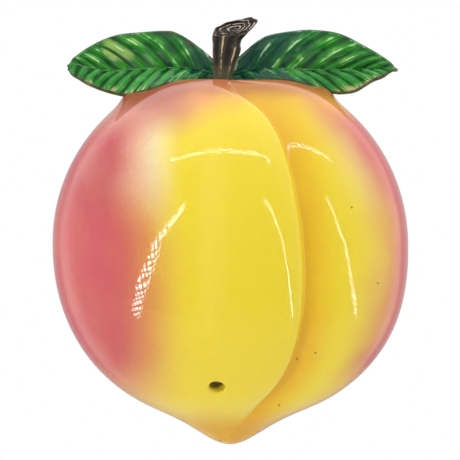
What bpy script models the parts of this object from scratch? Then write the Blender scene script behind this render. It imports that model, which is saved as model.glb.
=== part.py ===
"""Glazed ceramic peach for a wall: a hollow slip casting with two carved leaves and a stem.

Metres, +Z up. The wall is the plane Y = 0 and the peach stands out from it towards -Y.
The origin is on the flat back ledge, just above the nail hole.
"""

import bmesh
import bpy
from math import asin, cos, exp, pi, radians, sin, sqrt
from mathutils import Vector
from mathutils.geometry import tessellate_polygon

# Peach: the outline seen from the front
PEACH_HALF_WIDTH = 0.0683
CROWN_RISE = 0.0676
CHIN_DROP = 0.0693
CHIN_FULLNESS = 2.15
TIP_LENGTH = 0.0085
TIP_SPREAD = 0.0146
RIGHT_SWELL = 0.0020
RIGHT_SWELL_DROP = 0.0445
RIGHT_SWELL_SPREAD = 0.0300

# Peach: its depth from the wall
FRONT_DEPTH = 0.0540
BACK_DEPTH = 0.0140
BACK_INSET = 0.0050

# Stem pit in the crown
PIT_DEPTH = 0.0116
PIT_DEPTH_AT_WALL = 0.0030
PIT_SPREAD = 0.0160
PIT_FLOOR_ABOVE_ORIGIN = 0.0080

# Crease that parts the two lobes, by its turn to the right of the front
CREASE_DEPTH = 0.0050
CREASE_STEP_SHARE = 0.64
CREASE_STEP_SPREAD = 0.0028
CREASE_LEFT_SPREAD = 0.0075
CREASE_RIGHT_SPREAD = 0.0110
RIGHT_LOBE_SWELL = 0.0028
CREASE_TURN_AT_CROWN = radians(23)
CREASE_TURN_AT_CHIN = radians(29)
CREASE_SWING_AT_PIT = radians(20)
CREASE_SWING_AT_TIP = radians(31)
PIT_SWING_START = 0.0250
PIT_SWING_SPREAD = 0.0150
TIP_SWING_SPREAD = 0.0220
CREASE_START_RADIUS = 0.0160
CREASE_FADE_IN = 0.0240

# Clay wall, open back and holes
WALL = 0.0055
BACK_PLATE = 0.0060
CAVITY_CREASE_DEPTH = 0.0034
CAVITY_TIP_SHARE = 0.5
BACK_OPENING_DIAMETER = 0.0840
NAIL_HOLE_DIAMETER = 0.0070
NAIL_HOLE_BELOW_ORIGIN = 0.0065
LAND_BELOW_NAIL_HOLE = 0.0035
STRING_HOLE_DIAMETER = 0.0059
STRING_HOLE_ABOVE_CHIN = 0.0144
STRING_HOLE_OFFSET = -0.0050
STRING_DRILL_WALLS = 2.5

# Stem: stations from the pit up to the cut end, left to right width and front to back depth
STEM_OFFSET = -0.0027
STEM_FORWARD = 0.0110
STEM_SUNK = 0.0060
STEM_STATIONS = (
    # height over the pit floor, sideways shift, half width, half depth, forward shift
    (0.0015, 0.0000, 0.0041, 0.0044, 0.0000),
    (0.0070, -0.0002, 0.0039, 0.0043, 0.0000),
    (0.0120, 0.0004, 0.0046, 0.0043, -0.0010),
    (0.0172, 0.0013, 0.0057, 0.0045, -0.0022),
    (0.0200, 0.0013, 0.0056, 0.0045, -0.0030),
    (0.0225, 0.0018, 0.0063, 0.0046, -0.0036),
)
STEM_END_RISE = 0.0264
STEM_END_SHIFT = 0.0048
STEM_END_HALF_WIDTH = 0.0090
STEM_END_HALF_DEPTH = 0.0048
STEM_END_TILT = radians(14)
STEM_END_FACING = radians(44)
STEM_GROOVES = 7
STEM_GROOVE_DEPTH = 0.0005

# Leaves: outline heights over the leaf line, at shares of the leaf's length
LEAF_LINE_ABOVE_PIT = 0.0103
LEAF_PLANE = 0.0140
LEAF_ROOT_FORWARD = 0.0090
LEAF_LEAN_BACK = 0.0050
LEAF_TIP_CURL = 0.0030
LEAF_OVER_PEACH = 0.0010
LEAF_EDGE_EASE = 0.0110
LEAF_ROOT_SHARE = 0.10
LEAF_ROOT_FADE = 0.14
LEAF_TIP_SHARE = 0.25
LEAF_ROOT_FLAT = 0.07
LEAF_TIP_FLAT = 0.82
LEAF_TIP_FLAT_FADE = 0.12
LEAF_END_GAP = 0.004
LEAF_PUFF = 0.0012
LEAF_PUFF_LEAD = 0.1
LEAF_THICKNESS = 0.0045
LEAF_EDGE_THINNING = 0.35
LEAF_TIP_THINNING = 0.3
LEAF_WALL_GAP = 0.0015
RIBS = 9
RIB_HEIGHT = 0.0009
RIB_START = 0.12
RIB_TIP_FADE = 0.15
RIGHT_LEAF = {
    "length": 0.0673,
    "upper": ((0, 0.0010), (0.105, 0.0065), (0.19, 0.0114), (0.26, 0.0139), (0.42, 0.0158),
              (0.52, 0.0161), (0.67, 0.0147), (0.80, 0.0105), (0.95, 0.0043), (1, 0)),
    "midrib": ((0, -0.0035), (0.10, -0.0012), (0.22, 0.0003), (0.45, 0), (1, 0)),
    "lower": ((0, -0.0070), (0.17, -0.0055), (0.27, -0.0043), (0.38, -0.0047), (0.53, -0.0070),
              (0.65, -0.0093), (0.71, -0.0094), (0.77, -0.0085), (0.87, -0.0042), (1, 0)),
    "upper_lead": 0.229,
    "lower_lead": 0.17,
}
LEFT_LEAF = {
    "length": 0.0600,
    "upper": ((0, 0.0010), (0.10, 0.0068), (0.20, 0.0115), (0.28, 0.0144), (0.35, 0.0157),
              (0.58, 0.0150), (0.69, 0.0141), (0.82, 0.0111), (0.96, 0.0054), (1, 0.0012)),
    "midrib": ((0, -0.0030), (0.10, -0.0010), (0.25, 0.0005), (0.58, 0), (0.70, -0.0005),
               (0.80, -0.0001), (0.94, 0.0022), (1, 0.0012)),
    "lower": ((0, -0.0052), (0.25, -0.0053), (0.35, -0.0059), (0.44, -0.0076), (0.54, -0.0093),
              (0.63, -0.0104), (0.77, -0.0085), (0.92, -0.0042), (0.98, -0.0018), (1, 0.0012)),
    "upper_lead": 0.225,
    "lower_lead": 0.13,
}

# Webs of clay that tie the leaves to the peach at its outline
WEB_SIZE = Vector((0.0062, 0.0060, 0.0028))
RIGHT_WEB_OFFSET = 0.0352
LEFT_WEB_OFFSET = -0.0372
WEB_BELOW_LEAF_LINE = 0.0093

# Glaze, for a plain look
GLAZE_COLOUR = (0.85, 0.62, 0.10)
GLAZE_ROUGHNESS = 0.12

# Mesh fineness
PEACH_ROWS = 40
ROW_CROWDING = 0.4
PEACH_LEFT_COLUMNS = 21
PEACH_RIGHT_COLUMNS = 15
PEACH_BACK_COLUMNS = 3
COLUMN_CROWDING = 0.16
COLUMN_CROWDING_POWER = 1.8
CAVITY_ROWS = 24
CAVITY_LEFT_COLUMNS = 13
CAVITY_RIGHT_COLUMNS = 9
LEAF_COLUMNS_PER_RIB = 4
LEAF_HALF_ROWS = 4
STEM_SIDES = 28
WEB_SIDES = 14
WEB_RINGS = 8
HOLE_SIDES = 32
OPENING_SIDES = 64
WELD = 0.000001
SMALL_STEP = 0.002
HALVINGS = 30

PIT_FLOOR_Z = PIT_FLOOR_ABOVE_ORIGIN
WIDEST_Z = PIT_FLOOR_Z + PIT_DEPTH - CROWN_RISE
CHIN_Z = WIDEST_Z - CHIN_DROP
DEPTH_SHARE = FRONT_DEPTH / PEACH_HALF_WIDTH
CROWN_TOP_RADIUS = 1.35 * PIT_SPREAD
NAIL_HOLE_Z = -NAIL_HOLE_BELOW_ORIGIN
BACK_OPENING_Z = NAIL_HOLE_Z - (NAIL_HOLE_DIAMETER + BACK_OPENING_DIAMETER) / 2 - LAND_BELOW_NAIL_HOLE


def clear_scene():
    for item in list(bpy.data.objects):
        bpy.data.objects.remove(item)


def glaze(name, colour, roughness):
    material = bpy.data.materials.new(name)
    material.use_nodes = True
    shader = material.node_tree.nodes["Principled BSDF"]
    shader.inputs["Base Color"].default_value = (*colour, 1)
    shader.inputs["Roughness"].default_value = roughness
    shader.inputs["Metallic"].default_value = 0
    return material


def smooth(value):
    value = min(max(value, 0), 1)
    return value * value * (3 - 2 * value)


def through(stations, share):
    """A smooth curve through (share, value) stations."""
    last = len(stations) - 1
    index = 0
    while index < last - 1 and share > stations[index + 1][0]:
        index += 1
    (x0, y0), (x1, y1) = stations[index], stations[index + 1]

    def slope(at):
        before = stations[max(at - 1, 0)]
        after = stations[min(at + 1, last)]
        return (after[1] - before[1]) / (after[0] - before[0])

    span = x1 - x0
    t = (share - x0) / span
    start = slope(index) * span
    end = slope(index + 1) * span
    rise = y1 - y0
    return y0 + t * (start + t * (3 * rise - 2 * start - end + t * (start + end - 2 * rise)))


def outline(angle, tip=TIP_LENGTH, pit=PIT_DEPTH):
    """Radius and height of the peach's outline, from the pit (0) down to the tip (pi)."""
    if angle <= pi / 2:
        radius = PEACH_HALF_WIDTH * sin(angle)
        height = WIDEST_Z + CROWN_RISE * cos(angle) - pit * exp(-(radius / PIT_SPREAD) ** 2)
        return radius, height
    power = 2 / CHIN_FULLNESS
    radius = PEACH_HALF_WIDTH * max(sin(angle), 0) ** power
    height = WIDEST_Z - CHIN_DROP * (-cos(angle)) ** power - tip * exp(-(radius / TIP_SPREAD) ** 2)
    return radius, height


def outline_normal(angle, tip, pit):
    """Outward direction of the outline, as its share sideways and upwards."""
    if outline(angle)[0] < WELD:
        return 0, 1 if angle < pi / 2 else -1
    low = max(angle - SMALL_STEP, 0)
    high = min(angle + SMALL_STEP, pi)
    radius_low, height_low = outline(low, tip, pit)
    radius_high, height_high = outline(high, tip, pit)
    along = Vector((radius_high - radius_low, height_high - height_low)).normalized()
    return -along.y, along.x


def crease_turn(angle):
    """Turn of the crease at one level: it swings to the middle at the pit and at the tip."""
    radius, height = outline(angle)
    share = smooth((PIT_FLOOR_Z + PIT_DEPTH - height) / (CROWN_RISE + CHIN_DROP))
    turn = CREASE_TURN_AT_CROWN + (CREASE_TURN_AT_CHIN - CREASE_TURN_AT_CROWN) * share
    if angle < pi / 2:
        beyond = max(radius - PIT_SWING_START, 0)
        return turn - CREASE_SWING_AT_PIT * exp(-(beyond / PIT_SWING_SPREAD) ** 2)
    return turn - CREASE_SWING_AT_TIP * exp(-(radius / TIP_SWING_SPREAD) ** 2)


def crease_sink(angle, turn, depth, out):
    """How far the surface lies under the plain peach.

    The left lobe rounds over and drops steeply into the groove; the right lobe rises out of it gently
    and, where it faces sideways, swells past the plain outline.
    """
    radius = outline(angle)[0]
    middle = crease_turn(angle)
    across = (turn - middle) * radius
    if across > 0:
        share = (turn - middle) / (pi / 2 - middle)
        swell = RIGHT_LOBE_SWELL * sin(pi * min(share, 1)) ** 2 * max(out, 0)
        groove = depth * exp(-(across / CREASE_RIGHT_SPREAD) ** 2) - swell
    else:
        step = CREASE_STEP_SHARE * exp(-(across / CREASE_STEP_SPREAD) ** 2)
        shoulder = (1 - CREASE_STEP_SHARE) * exp(-(across / CREASE_LEFT_SPREAD) ** 2)
        groove = depth * (step + shoulder)
    return groove * smooth((radius - CREASE_START_RADIUS) / CREASE_FADE_IN)


def peach_point(angle, turn, inward=0.0, crease=CREASE_DEPTH, tip=TIP_LENGTH, pit=PIT_DEPTH):
    """A point of the peach's front, or of a skin that lies inward of it."""
    radius, height = outline(angle, tip, pit)
    out, up = outline_normal(angle, tip, pit)
    lower = (height - WIDEST_Z + RIGHT_SWELL_DROP) / RIGHT_SWELL_SPREAD
    swell = RIGHT_SWELL * exp(-lower ** 2) * max(sin(turn), 0)
    radius *= 1 + swell / PEACH_HALF_WIDTH
    sink = inward + crease_sink(angle, turn, crease, out)
    x = (radius - sink * out) * sin(turn)
    y = -BACK_DEPTH - (radius * DEPTH_SHARE - sink * out) * cos(turn)
    return Vector((x, y, height - sink * up))


def back_point(angle, side, y, inward=0.0):
    """A point behind the widest line, where the peach draws in a little towards the wall."""
    reach = 1 + y / BACK_DEPTH
    bend = sqrt(max(1 - reach ** 2, 0))
    scale = 1 - BACK_INSET / PEACH_HALF_WIDTH * (1 - bend)
    pit = PIT_DEPTH - (PIT_DEPTH - PIT_DEPTH_AT_WALL) * (1 - bend)
    edge = peach_point(angle, side * pi / 2, inward, 0, TIP_LENGTH * bend, pit)
    return Vector((edge.x * scale, y, WIDEST_Z + (edge.z - WIDEST_Z) * scale))


def row_angles(rows):
    """Levels from the pit to the tip, closer together at both ends."""
    shares = [i / rows for i in range(rows + 1)]
    return [pi * share - ROW_CROWDING / 2 * sin(2 * pi * share) for share in shares]


def shell(name, rows, turns_at, back_levels, inward=0.0, crease=CREASE_DEPTH, tip=TIP_LENGTH):
    """A closed body: the curved front, the drawn-in sides and one flat back face."""
    sheet = []
    for angle in row_angles(rows):
        left = [back_point(angle, -1, y, inward) for y in back_levels]
        front = [peach_point(angle, turn, inward, crease, tip) for turn in turns_at(angle)]
        right = [back_point(angle, 1, y, inward) for y in reversed(back_levels)]
        sheet.append(left + front + right)
    return closed_sheet(name, sheet)


def closed_sheet(name, sheet):
    """Turns a grid of points, whose first and last columns bound a flat back, into a solid."""
    columns = len(sheet[0])
    points = [point for row in sheet for point in row]
    faces = []
    for i in range(len(sheet) - 1):
        for j in range(columns - 1):
            first = i * columns + j
            faces.append((first, first + columns, first + columns + 1, first + 1))
    starts = [i * columns for i in range(len(sheet))]
    ends = [start + columns - 1 for start in starts]
    faces += flat_back(points, starts + ends[-2:0:-1])
    return solid(name, points, faces)


def flat_back(points, rim):
    """Faces of a flat back inside its rim, with a disc of its own for each hole that is cut there.

    A disc is a fan whose corners lie between those of its hole, so the cut crosses it cleanly.
    """
    level = points[rim[0]].y
    loops = [rim]
    faces = []
    for z, diameter, sides in ((NAIL_HOLE_Z, NAIL_HOLE_DIAMETER, HOLE_SIDES),
                               (BACK_OPENING_Z, BACK_OPENING_DIAMETER, OPENING_SIDES)):
        hub = Vector((0, level, z))
        radius = diameter / 2 + LAND_BELOW_NAIL_HOLE / 3
        if min((points[index] - hub).length for index in rim) <= radius:
            continue
        turns = [2 * pi * (j + 0.5) / sides for j in range(sides)]
        ring = [len(points) + j for j in range(sides)]
        points += [hub + radius * Vector((cos(turn), 0, sin(turn))) for turn in turns]
        faces += [(len(points), ring[j - 1], ring[j]) for j in range(sides)]
        points.append(hub)
        loops.append(ring)
    order = [index for loop in loops for index in loop]
    land = tessellate_polygon([[points[index] for index in loop] for loop in loops])
    return faces + [tuple(order[corner] for corner in face) for face in land]


def solid(name, points, faces):
    """Makes an object of points and faces, welded shut, its faces pointing out."""
    mesh = bpy.data.meshes.new(name)
    mesh.from_pydata(points, [], faces)
    work = bmesh.new()
    work.from_mesh(mesh)
    bmesh.ops.remove_doubles(work, verts=work.verts, dist=WELD)
    bmesh.ops.triangulate(work, faces=work.faces)
    bmesh.ops.recalc_face_normals(work, faces=work.faces)
    if work.calc_volume(signed=True) < 0:
        bmesh.ops.reverse_faces(work, faces=work.faces)
    work.to_mesh(mesh)
    work.free()
    item = bpy.data.objects.new(name, mesh)
    bpy.context.collection.objects.link(item)
    return item


def crowded_turns(angle, left_columns, right_columns):
    """Columns of one level: they follow the crease and crowd together beside it."""
    middle = crease_turn(angle)

    def spaced(count, reach):
        shares = [i / count for i in range(1, count + 1)]
        wide = 1 - COLUMN_CROWDING
        return [reach * (COLUMN_CROWDING * s + wide * s ** COLUMN_CROWDING_POWER) for s in shares]

    left = [middle - step for step in spaced(left_columns, middle + pi / 2)]
    right = [middle + step for step in spaced(right_columns, pi / 2 - middle)]
    return left[::-1] + [middle] + right


def peach_turns(angle):
    return crowded_turns(angle, PEACH_LEFT_COLUMNS, PEACH_RIGHT_COLUMNS)


def cavity_turns(angle):
    return crowded_turns(angle, CAVITY_LEFT_COLUMNS, CAVITY_RIGHT_COLUMNS)


def peach_body():
    turns = [pi / 2 * i / PEACH_BACK_COLUMNS for i in range(PEACH_BACK_COLUMNS, 0, -1)]
    levels = [-BACK_DEPTH * (1 - sin(turn)) for turn in turns]
    return shell("ceramic_peach", PEACH_ROWS, peach_turns, levels)


def peach_cavity():
    tip = TIP_LENGTH * CAVITY_TIP_SHARE
    return shell("cavity", CAVITY_ROWS, cavity_turns, [-BACK_PLATE], WALL, CAVITY_CREASE_DEPTH, tip)


def level_at(height, low, high):
    """The outline's level at one height, between two levels where it only falls."""
    for _ in range(HALVINGS):
        middle = (low + high) / 2
        if outline(middle)[1] > height:
            low = middle
        else:
            high = middle
    return low


def leaf_edge_depth(x, z):
    """How far forward a leaf's lower edge lies, so that it rests on the peach's shoulder."""
    radius = outline(level_at(z, asin(CROWN_TOP_RADIUS / PEACH_HALF_WIDTH), pi / 2))[0]
    inside = radius ** 2 - x ** 2
    over = sqrt((inside + sqrt(inside ** 2 + LEAF_EDGE_EASE ** 4)) / 2)
    return -BACK_DEPTH - over * DEPTH_SHARE - LEAF_OVER_PEACH


def leaf_lines(leaf, side, s):
    """Midrib, upper edge and lower edge of a leaf at one share of its length."""
    curl = LEAF_TIP_CURL * s ** 2
    root = exp(-s / LEAF_ROOT_FADE)
    line_z = PIT_FLOOR_Z + LEAF_LINE_ABOVE_PIT

    def place(share, stations):
        x = STEM_OFFSET + side * share * leaf["length"]
        return x, line_z + through(stations, share)

    upper_share = s + leaf["upper_lead"] * sin(pi * s)
    lower_share = s + leaf["lower_lead"] * sin(pi * s)
    mid_x, mid_z = place(s, leaf["midrib"])
    mid_y = -LEAF_PLANE - LEAF_ROOT_FORWARD * root + curl
    up_x, up_z = place(upper_share, leaf["upper"])
    up_y = mid_y + LEAF_LEAN_BACK * (1 - s ** 4)
    low_x, low_z = place(lower_share, leaf["lower"])
    on_peach = leaf_edge_depth(low_x, low_z)
    drape = smooth(s / LEAF_ROOT_SHARE) * smooth((1 - s) / LEAF_TIP_SHARE)
    low_y = mid_y + (min(on_peach, mid_y) - mid_y) * drape
    return Vector((mid_x, mid_y, mid_z)), Vector((up_x, up_y, up_z)), Vector((low_x, low_y, low_z))


def leaf_point(leaf, side, s, t):
    """A point of a leaf's plain front: t runs from the lower edge (-1) to the upper edge (1)."""
    middle, upper, lower = leaf_lines(leaf, side, s)
    edge = upper if t > 0 else lower
    across = abs(t)
    point = middle.lerp(edge, across)
    point.y -= LEAF_PUFF * sin(pi * across) * sin(pi * min(s + LEAF_PUFF_LEAD, 1))
    if t < 0:
        point.z += LEAF_PUFF * sin(pi * across) * sin(pi * s)
    return point


def leaf_normal(leaf, side, s, t):
    """Way out of a leaf's front; it faces straight forward at the root and at the tip."""
    along = leaf_point(leaf, side, s + SMALL_STEP, t) - leaf_point(leaf, side, s - SMALL_STEP, t)
    inner = leaf_point(leaf, side, s, max(t - SMALL_STEP, -1))
    outer = leaf_point(leaf, side, s, min(t + SMALL_STEP, 1))
    normal = side * along.cross(outer - inner).normalized()
    at_tip = smooth((s - LEAF_TIP_FLAT) / LEAF_TIP_FLAT_FADE)
    at_root = smooth(1 - s / LEAF_ROOT_FLAT)
    return normal.lerp(Vector((0, -1, 0)), max(at_tip, at_root)).normalized()


def leaf_relief(s, t):
    """Height of the ribs, which run from the midrib out to the edge."""
    ridge = 0.5 - 0.5 * cos(2 * pi * RIBS * s)
    return RIB_HEIGHT * ridge * sin(pi * min(abs(t) + RIB_START, 1)) * smooth((1 - s) / RIB_TIP_FADE)


def leaf_solid(name, leaf, side):
    columns = RIBS * LEAF_COLUMNS_PER_RIB
    shares = [LEAF_END_GAP + (1 - 2 * LEAF_END_GAP) * i / columns for i in range(columns + 1)]
    crossings = [i / LEAF_HALF_ROWS for i in range(-LEAF_HALF_ROWS, LEAF_HALF_ROWS + 1)]
    points = []
    for s in shares:
        front = []
        back = []
        for t in crossings:
            point = leaf_point(leaf, side, s, t)
            normal = leaf_normal(leaf, side, s, t)
            edge = 1 - LEAF_EDGE_THINNING * abs(t) ** 3
            thickness = LEAF_THICKNESS * edge * (1 - LEAF_TIP_THINNING * s)
            under = point - normal * thickness
            under.y = min(under.y, -LEAF_WALL_GAP)
            front.append(point + normal * leaf_relief(s, t))
            back.append(under)
        points += front + back[::-1]
    return solid(name, points, tube_faces(columns, 2 * len(crossings)))


def tube_faces(lengths, sides):
    """Faces of a closed tube of rings: its skin, and one flat face at each end."""
    faces = []
    for i in range(lengths):
        for j in range(sides):
            here = i * sides + j
            beside = i * sides + (j + 1) % sides
            faces.append((here, beside, beside + sides, here + sides))
    faces.append(tuple(range(sides)))
    faces.append(tuple(lengths * sides + j for j in range(sides)))
    return faces


def stem_solid():
    """The stem: rounded, grooved sections that widen into a cut end facing up and forward."""
    base_y = -BACK_DEPTH - STEM_FORWARD
    foot = (-STEM_SUNK, *STEM_STATIONS[0][1:])
    sections = []
    for rise, shift, half_width, half_depth, forward in (foot, *STEM_STATIONS):
        centre = Vector((STEM_OFFSET + shift, base_y - forward, PIT_FLOOR_Z + rise))
        sections.append((centre, Vector((half_width, 0, 0)), Vector((0, -half_depth, 0))))
    end_y = base_y - STEM_STATIONS[-1][4]
    centre = Vector((STEM_OFFSET + STEM_END_SHIFT, end_y, PIT_FLOOR_Z + STEM_END_RISE))
    wide = STEM_END_HALF_WIDTH * Vector((cos(STEM_END_TILT), 0, sin(STEM_END_TILT)))
    deep = STEM_END_HALF_DEPTH * Vector((0, -cos(STEM_END_FACING), -sin(STEM_END_FACING)))
    sections.append((centre, wide, deep))
    points = []
    for centre, wide, deep in sections:
        for j in range(STEM_SIDES):
            angle = 2 * pi * j / STEM_SIDES
            groove = 1 - STEM_GROOVE_DEPTH / wide.length * (1 - cos(STEM_GROOVES * angle))
            points.append(centre + (wide * cos(angle) + deep * sin(angle)) * groove)
    return solid("stem", points, tube_faces(len(sections) - 1, STEM_SIDES))


def web(name, offset):
    """A small rounded web of clay between a leaf's lower edge and the peach."""
    work = bmesh.new()
    bmesh.ops.create_uvsphere(work, u_segments=WEB_SIDES, v_segments=WEB_RINGS, radius=1)
    place = Vector((offset, -LEAF_PLANE, PIT_FLOOR_Z + LEAF_LINE_ABOVE_PIT - WEB_BELOW_LEAF_LINE))
    for vertex in work.verts:
        vertex.co = Vector(a * b for a, b in zip(vertex.co, WEB_SIZE)) + place
    mesh = bpy.data.meshes.new(name)
    work.to_mesh(mesh)
    work.free()
    item = bpy.data.objects.new(name, mesh)
    bpy.context.collection.objects.link(item)
    return item


def drill(name, diameter, start, end, sides):
    """A closed cylinder between two points, as the cutter of a round hole."""
    along = end - start
    turn = along.to_track_quat("Z", "Y")
    points = []
    for height in (0, along.length):
        for j in range(sides):
            angle = 2 * pi * j / sides
            ring = Vector((diameter / 2 * cos(angle), diameter / 2 * sin(angle), height))
            points.append(start + turn @ ring)
    return solid(name, points, tube_faces(1, sides))


def nail_hole():
    past = BACK_PLATE
    start = Vector((0, -BACK_PLATE - past, NAIL_HOLE_Z))
    end = start + Vector((0, BACK_PLATE + 2 * past, 0))
    return drill("nail_hole", NAIL_HOLE_DIAMETER, start, end, HOLE_SIDES)


def back_opening():
    """The round hole in the back: its top leaves a land under the nail hole."""
    past = BACK_PLATE / 2
    start = Vector((0, -BACK_PLATE - past, BACK_OPENING_Z))
    end = start + Vector((0, BACK_PLATE + 2 * past, 0))
    return drill("back_opening", BACK_OPENING_DIAMETER, start, end, OPENING_SIDES)


def string_hole():
    """The hole for the string, square to the surface low on the front."""
    angle = level_at(CHIN_Z + STRING_HOLE_ABOVE_CHIN, pi / 2, pi)
    turn = asin(STRING_HOLE_OFFSET / outline(angle)[0])

    def near(down, across):
        return peach_point(angle + down * SMALL_STEP, turn + across * SMALL_STEP, crease=0)

    out = (near(1, 0) - near(-1, 0)).cross(near(0, 1) - near(0, -1)).normalized()
    inner = near(0, 0) - out * STRING_DRILL_WALLS * WALL
    return drill("string_hole", STRING_HOLE_DIAMETER, inner, near(0, 0) + out * WALL, HOLE_SIDES)


def combine(body, tool, operation):
    """Joins a form to the casting, or cuts a hollow out of it; the form itself is only a guide."""
    tool.hide_render = True
    tool.display_type = "WIRE"
    step = body.modifiers.new(tool.name, "BOOLEAN")
    step.operation = operation
    step.solver = "EXACT"
    step.object = tool


def build():
    clear_scene()
    body = peach_body()
    body.data.materials.append(glaze("peach glaze", GLAZE_COLOUR, GLAZE_ROUGHNESS))
    combine(body, leaf_solid("right_leaf", RIGHT_LEAF, 1), "UNION")
    combine(body, leaf_solid("left_leaf", LEFT_LEAF, -1), "UNION")
    combine(body, web("right_web", RIGHT_WEB_OFFSET), "UNION")
    combine(body, web("left_web", LEFT_WEB_OFFSET), "UNION")
    combine(body, stem_solid(), "UNION")
    combine(body, nail_hole(), "DIFFERENCE")
    combine(body, string_hole(), "DIFFERENCE")
    combine(body, back_opening(), "DIFFERENCE")
    combine(body, peach_cavity(), "DIFFERENCE")


build()
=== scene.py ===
"""A glazed ceramic peach that hangs on a wall: its shell, its leaves and its stem, then light and camera."""

from math import cos, pi, radians, sin, sqrt

import bmesh
import bpy
import numpy as np
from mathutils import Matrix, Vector, noise


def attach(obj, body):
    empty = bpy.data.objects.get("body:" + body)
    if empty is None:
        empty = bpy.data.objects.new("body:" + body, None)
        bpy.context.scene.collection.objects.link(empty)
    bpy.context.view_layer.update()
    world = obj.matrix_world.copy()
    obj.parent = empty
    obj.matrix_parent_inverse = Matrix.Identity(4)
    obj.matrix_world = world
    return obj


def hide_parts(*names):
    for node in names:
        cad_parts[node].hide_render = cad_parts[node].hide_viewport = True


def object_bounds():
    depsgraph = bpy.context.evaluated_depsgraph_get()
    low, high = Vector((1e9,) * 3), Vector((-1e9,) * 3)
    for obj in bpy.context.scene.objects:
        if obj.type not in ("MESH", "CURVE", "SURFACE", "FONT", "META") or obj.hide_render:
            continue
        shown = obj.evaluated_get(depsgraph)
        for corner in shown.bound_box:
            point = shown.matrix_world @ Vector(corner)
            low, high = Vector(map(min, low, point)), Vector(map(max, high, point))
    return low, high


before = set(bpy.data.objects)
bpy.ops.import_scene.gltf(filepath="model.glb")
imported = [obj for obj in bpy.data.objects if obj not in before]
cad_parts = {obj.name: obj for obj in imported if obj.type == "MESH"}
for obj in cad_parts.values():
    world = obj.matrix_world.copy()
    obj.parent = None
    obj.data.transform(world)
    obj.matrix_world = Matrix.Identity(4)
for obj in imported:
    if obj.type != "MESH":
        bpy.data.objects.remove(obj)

cad_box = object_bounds()

# The shell. Half a peach, slip-cast in cream clay in one piece with its leaves: a hollow wall of clay with a
# round crown, a fuller chin that draws out to a tip, a pit for the stem and a crease that parts two lobes.
HALF_WIDTH = 0.0683
CROWN_RISE = 0.0676
CHIN_DROP = 0.0693
CHIN_FULLNESS = 2.15
TIP_LENGTH = 0.0085
TIP_SPREAD = 0.0146
FRONT_DEPTH = 0.0540
BACK_DEPTH = 0.0140
BACK_INSET = 0.0050
BACK_EDGE = 0.0012
RIGHT_SWELL = 0.0020
RIGHT_SWELL_DROP = 0.0445
RIGHT_SWELL_SPREAD = 0.0300
PIT_DEPTH = 0.0116
PIT_DEPTH_AT_WALL = 0.0030
PIT_SPREAD = 0.0160
PIT_FLOOR_Z = 0.0080
WIDEST_Z = PIT_FLOOR_Z + PIT_DEPTH - CROWN_RISE
CHIN_Z = WIDEST_Z - CHIN_DROP
DEPTH_SHARE = FRONT_DEPTH / HALF_WIDTH
LEVEL_STEP = 0.002
POLE_RADIUS = 0.000001
WELD_DISTANCE = 0.000001
ROW_CROWDING = 0.2


def smooth(value):
    value = np.clip(value, 0, 1)
    return value * value * (3 - 2 * value)


def outline(level, tip=TIP_LENGTH, pit=PIT_DEPTH):
    """Radius and height of the shell's outline, from the pit (level 0) down to the tip (level pi)."""
    power = 2 / CHIN_FULLNESS
    across = np.clip(np.sin(level), 0, 1)
    along = np.clip(-np.cos(level), 0, 1)
    in_crown = level <= pi / 2
    radius = HALF_WIDTH * np.where(in_crown, across, across ** power)
    crown = CROWN_RISE * np.cos(level) - pit * np.exp(-(radius / PIT_SPREAD) ** 2)
    chin = -CHIN_DROP * along ** power - tip * np.exp(-(radius / TIP_SPREAD) ** 2)
    return radius, WIDEST_Z + np.where(in_crown, crown, chin)


def outline_way(level, tip, pit):
    """Outward direction of the outline, as its share sideways and its share upwards."""
    radius_low, height_low = outline(np.maximum(level - LEVEL_STEP, 0), tip, pit)
    radius_high, height_high = outline(np.minimum(level + LEVEL_STEP, pi), tip, pit)
    run = radius_high - radius_low
    fall = height_high - height_low
    length = np.hypot(run, fall)
    at_pole = outline(level)[0] < POLE_RADIUS
    out = np.where(at_pole, 0, -fall / length)
    up = np.where(at_pole, np.where(level < pi / 2, 1, -1), run / length)
    return out, up


# The crease swings to the middle at the pit and at the tip. The left lobe rounds over and drops into it
# steeply, and the right lobe rises out of it gently.
CREASE_DEPTH = 0.0050
CREASE_STEP_SHARE = 0.64
CREASE_STEP_SPREAD = 0.0024
CREASE_LEFT_SPREAD = 0.0075
CREASE_RIGHT_SPREAD = 0.0110
CREASE_RIGHT_POWER = 1.35
CREASE_START_RADIUS = 0.0160
CREASE_FADE_IN = 0.0240
RIGHT_LOBE_SWELL = 0.0028
TURN_AT_CROWN = radians(23)
TURN_AT_CHIN = radians(29)
SWING_AT_PIT = radians(20)
SWING_AT_TIP = radians(31)
PIT_SWING_START = 0.0250
PIT_SWING_SPREAD = 0.0150
TIP_SWING_SPREAD = 0.0220


def crease_turn(radius, height):
    """How far to the right, as an angle round the peach, the middle of the crease lies."""
    share = smooth((PIT_FLOOR_Z + PIT_DEPTH - height) / (CROWN_RISE + CHIN_DROP))
    beyond = np.maximum(radius - PIT_SWING_START, 0)
    at_pit = SWING_AT_PIT * np.exp(-(beyond / PIT_SWING_SPREAD) ** 2)
    at_tip = SWING_AT_TIP * np.exp(-(radius / TIP_SWING_SPREAD) ** 2)
    swing = np.where(height >= WIDEST_Z, at_pit, at_tip)
    return TURN_AT_CROWN + (TURN_AT_CHIN - TURN_AT_CROWN) * share - swing


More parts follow.
